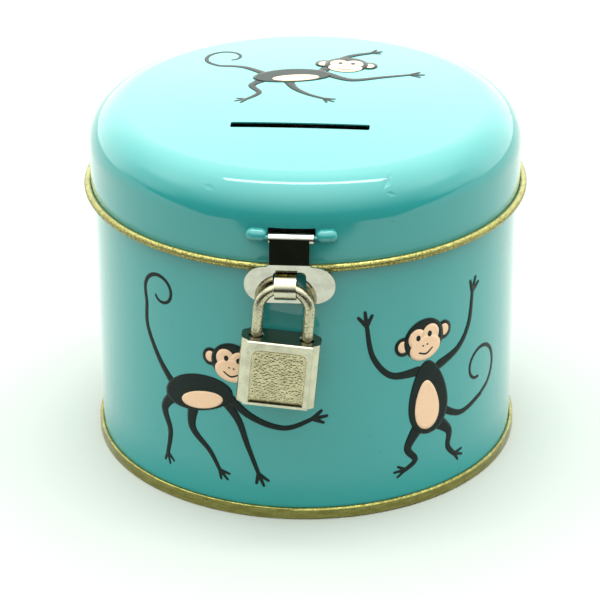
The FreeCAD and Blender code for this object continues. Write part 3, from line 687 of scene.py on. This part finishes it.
def standing(art):
    """On two feet with both arms up and the tail curled at the side."""
    tail = [(3, -5, 2.2), (10, -9, 1.5), (17.5, -7.5, 1.3)]
    art.line(tail + curl(17.0, 0.2, -80, 0.95, 7.4, 2.4, 1.15), Print.BLACK)
    limb(art, [(-3, -9, 3.4), (-5.5, -13.5, 2.0), (-3.4, -17.0, 1.5), (-6.0, -19.0, 1.2)], 190)
    limb(art, [(3, -9, 3.4), (6.4, -12.5, 2.0), (6.2, -16.5, 1.5), (8.4, -19.4, 1.2)], -15)
    limb(art, [(-3, 6, 2.4), (-10, 6.5, 1.6), (-14.5, 12, 1.3), (-16.0, 20, 1.0)], 105, 1.2)
    limb(art, [(3, 6, 2.4), (9, 8.5, 1.6), (12.5, 13.5, 1.3), (13.5, 21, 1.0)], 80, 1.2)
    art.blob(0, -1.5, 5.4, 9.6, Print.BLACK, 4, 0.28)
    art.blob(-0.4, -3.4, 3.3, 6.4, Print.TAN, 4, 0.25)
    head(art, -1.4, 13.2, 8, 1.08)


def creeping(art):
    """Low and long, facing right."""
    tail = [(-8, 2, 2.0), (-13, 6, 1.5), (-18.5, 7, 1.2)]
    art.line(tail + curl(-17.5, 13.0, -110, -0.85, 6.0, 2.2, 1.1), Print.BLACK)
    limb(art, [(-6, -1, 3.0), (-10, -6, 1.9), (-8.0, -11, 1.4), (-10.5, -15, 1.1)], 215)
    limb(art, [(-2, -2, 2.8), (0, -7.5, 1.8), (3.5, -11.5, 1.3), (7.5, -14, 1.0)], -30)
    limb(art, [(6, 3, 2.6), (13, -1.5, 1.8), (20.5, 1.0, 1.3), (27.0, 3.5, 1.0)], 15, 1.15)
    limb(art, [(6, 4, 2.6), (11, 14, 1.8), (17.0, 18, 1.3)], 35)
    art.blob(-1.0, 0.6, 9.4, 4.4, Print.BLACK, 10, 0.1)
    art.blob(0.0, -1.0, 5.6, 2.0, Print.TAN, 10)
    head(art, 11.5, 8.2, -4, 1.05)


def wall_figure(name, draw, turn_deg, height_mm):
    """One figure on the wall. draw works about the figure's middle."""
    art = Print()
    draw(art)
    art.shift(0, height_mm)
    art.lay(name, on_wall(turn_deg), "box")


def lid_figure(name, draw, a, b):
    """One figure on the lid, its middle at a, b in mm from the lid's middle."""
    art = Print()
    draw(art)
    art.shift(a, b)
    art.lay(name, on_lid, "lid")


wall_figure("print_walking", walking, -26.0, 29.0)
wall_figure("print_standing", standing, 38.0, 28.5)
wall_figure("print_walking_back", walking, 112.0, 29.0)
wall_figure("print_standing_back", standing, -112.0, 28.5)
wall_figure("print_creeping_back", creeping, 176.0, 27.0)
lid_figure("print_lid", creeping, -3.0, 12.5)


# ---------------------------------------------------------------- hammered panels of the padlock

SUNK_DEPTH = (0.75 * MM, 0.95 * MM)    # the panel's floor lies between these below the case's face
PANEL_HALF = 7 * MM                    # and within this of the case's middle
PANEL_GAP = 0.04 * MM
PANEL_CORNER = 1.75 * MM
PANEL_GRID = (132, 136)
PEBBLE_SIZE = 0.66 * MM
PEBBLE_WARP = 0.45
PEBBLE_SHARPNESS = 2.1
PEBBLE_LIFT = 0.09                     # lifts are in mm
PANEL_LIFT = 0.03
FADE_RUN = 0.35 * MM                   # the pebbles fade out over this width at the panel's edges
SIDE_RUN = 1.0 * MM                    # the sides and the top run up softly over this width
SIDE_LIFT = 0.66
PLATE_THICKNESS = 0.05 * MM


def pebble_at(u, v, sign):
    """0 in the creases between pebbles, 1 on their tops. Each face of the case has its own."""
    spot = Vector((u, v, sign * 3 * MM)) / PEBBLE_SIZE
    spot += PEBBLE_WARP * noise.noise_vector(spot * 0.9)
    near = noise.voronoi(spot)[0]
    share = min(1.0, (near[1] - near[0]) * PEBBLE_SHARPNESS)
    return math.sin(share * math.pi / 2)


def hammered(name, sign):
    """A pebbled plate in the sunk panel of one face, running up into its sides and its top."""
    local = [lock_frame.inverted() @ p for p in mesh_points("lock_case")]
    face = max(sign * p.y for p in local)
    sunk = [p for p in local
            if SUNK_DEPTH[0] < face - sign * p.y < SUNK_DEPTH[1] and abs(p.x) < PANEL_HALF]
    low = min(p.z for p in sunk) + PANEL_GAP
    high = max(p.z for p in sunk) - PANEL_GAP
    half = max(p.x for p in sunk) - PANEL_GAP
    depth = sign * sunk[0].y
    columns, rows = PANEL_GRID
    points = []
    for i in range(rows + 1):
        v = low + (high - low) * i / rows
        above = max(0.0, v - (high - PANEL_CORNER))
        width = half - PANEL_CORNER + math.sqrt(max(0.0, PANEL_CORNER ** 2 - above ** 2)) if above else half
        for j in range(columns + 1):
            u = width * (2 * j / columns - 1)
            to_side = min(width - abs(u), high - v)
            fade = min(1.0, min(to_side, v - low) / FADE_RUN)
            lift = (PANEL_LIFT + PEBBLE_LIFT * pebble_at(u, v, sign)) * fade
            lift += SIDE_LIFT * max(0.0, 1 - to_side / SIDE_RUN) ** 2
            points.append(lock_frame @ Vector((u, sign * (depth + lift * MM), v)))
    faces = []
    for i in range(rows):
        for j in range(columns):
            k = i * (columns + 1) + j
            quad = (k, k + 1, k + columns + 2, k + columns + 1)
            faces.append(quad if sign < 0 else quad[::-1])
    piece = add_piece(name, points, faces, [pebble_metal], "lock")
    thicken(piece, "plate", PLATE_THICKNESS)


noise.seed_set(7)    # the same pebbles on every run
hammered("lock_panel_front", -1)
hammered("lock_panel_back", 1)


# ---------------------------------------------------------------- floor, light and camera

FLOOR_HALF = 6.0
FLOOR_TONES = (0.415, 0.435, 0.412), (0.430, 0.450, 0.427)
ROOM_DARK = (0.005, 0.006, 0.004)
SHEET_END = -0.184             # in reflections the pale floor ends here, and the dark room begins
BACKDROP = (0.945, 1.0, 0.955)
TOP_LIGHT = 3.6
BACK_LIGHT = 2.4
HIGH_BACK_LIGHT = 3.4
SIDE_LIGHT = 1.6
HIGH_SIDE_LIGHT = 3.2
LAMP_OFFSET = Vector((0, 0.07, 1.0))
LAMP_SIZE = (0.80, 0.12)
LAMP_RADIANCE = 11.0

CAMERA_AZIMUTH = 3.9
CAMERA_ELEVATION = 26.08
CAMERA_ROLL = -0.21
CAMERA_DISTANCE = 0.6395
CAMERA_AIM = 0.372             # of the box's height
CAMERA_LENS = 157.95
CAMERA_SHIFT = -0.0099


def floor():
    """A white sheet. What the metal reflects of it ends a little in front of the view."""
    mesh = bpy.data.meshes.new("floor")
    corners = [(x * FLOOR_HALF, y * FLOOR_HALF, 0) for x, y in ((-1, -1), (1, -1), (1, 1), (-1, 1))]
    mesh.from_pydata(corners, [], [(0, 1, 2, 3)])
    ground = bpy.data.objects.new("floor", mesh)
    bpy.context.scene.collection.objects.link(ground)
    look = Look("pale_floor")
    tone = look.mix(look.grain(0.02, 2.0), *FLOOR_TONES)
    reflected = look.calc("SUBTRACT", 1.0, look.node("LightPath").outputs["Is Camera Ray"])
    dark = look.both(look.step(look.xyz[1], SHEET_END, SHEET_END - 0.01), reflected)
    tone = look.mix(dark, tone, ROOM_DARK)
    mesh.materials.append(look.finish(Base_Color=tone, Roughness=0.8, Specular_IOR_Level=0.0))


def surroundings():
    """A white backdrop for the camera, and soft light on the object from above, behind and the sides."""
    world = bpy.data.worlds.new("studio")
    bpy.context.scene.world = world
    world.use_nodes = True
    sky = Nodes(world.node_tree)
    way = sky.node("TexCoord").outputs["Generated"]
    x, y, z = sky.node("SeparateXYZ", Vector=way).outputs
    level = sky.calc("SQRT", sky.add(sky.both(x, x), sky.add(sky.both(y, y), 0.0001)))
    toward_back = sky.calc("DIVIDE", y, level)
    front = sky.step(toward_back, -0.05, -0.60)
    behind = sky.step(toward_back, 0.0, 0.45)
    rise = sky.both(sky.calc("POWER", sky.either(z, 0.0), 1.3), TOP_LIGHT)
    side = sky.either(rise, sky.step(z, -0.05, 0.15, 0.2, SIDE_LIGHT))
    side = sky.either(side, sky.step(z, 0.25, 0.65, 0.0, HIGH_SIDE_LIGHT))
    back = sky.step(z, 0.55, 0.85, BACK_LIGHT, HIGH_BACK_LIGHT)
    light = sky.number(front, sky.number(behind, side, back), rise)
    seen = sky.node("LightPath").outputs["Is Camera Ray"]
    background = world.node_tree.nodes["Background"]
    sky.put(background.inputs["Color"], BACKDROP)
    sky.put(background.inputs["Strength"], sky.number(seen, light, 1.0))


def aimed(at, aim):
    """The turn that points a lamp or a camera from a place at another."""
    return (aim - at).to_track_quat("-Z", "Y").to_matrix()


def overhead_softbox():
    """A narrow box overhead. It gives the white line along the lid's shoulder."""
    aim = Vector((0, 0, 0.8 * cad_high.z))
    light = bpy.data.lights.new("overhead_softbox", "AREA")
    light.shape = "RECTANGLE"
    light.size, light.size_y = LAMP_SIZE
    light.energy = LAMP_RADIANCE * math.pi * LAMP_SIZE[0] * LAMP_SIZE[1]
    lamp = bpy.data.objects.new("overhead_softbox", light)
    lamp.location = aim + LAMP_OFFSET
    lamp.rotation_euler = aimed(lamp.location, aim).to_euler()
    bpy.context.scene.collection.objects.link(lamp)


def add_camera():
    azimuth = math.radians(CAMERA_AZIMUTH)
    elevation = math.radians(CAMERA_ELEVATION)
    way = Vector((math.sin(azimuth) * math.cos(elevation),
                  -math.cos(azimuth) * math.cos(elevation),
                  math.sin(elevation)))
    aim = Vector((0, 0, CAMERA_AIM * cad_high.z))
    camera = bpy.data.objects.new("camera", bpy.data.cameras.new("camera"))
    bpy.context.scene.collection.objects.link(camera)
    camera.location = aim + CAMERA_DISTANCE * way
    roll = Matrix.Rotation(math.radians(CAMERA_ROLL), 3, "Z")
    camera.rotation_euler = (aimed(camera.location, aim) @ roll).to_euler()
    camera.data.sensor_width = 36
    camera.data.lens = CAMERA_LENS
    camera.data.shift_x = CAMERA_SHIFT
    camera.data.clip_start = 0.01
    bpy.context.scene.camera = camera


overhead_softbox()
add_camera()
bpy.context.scene.view_settings.view_transform = "Standard"
floor()
surroundings()
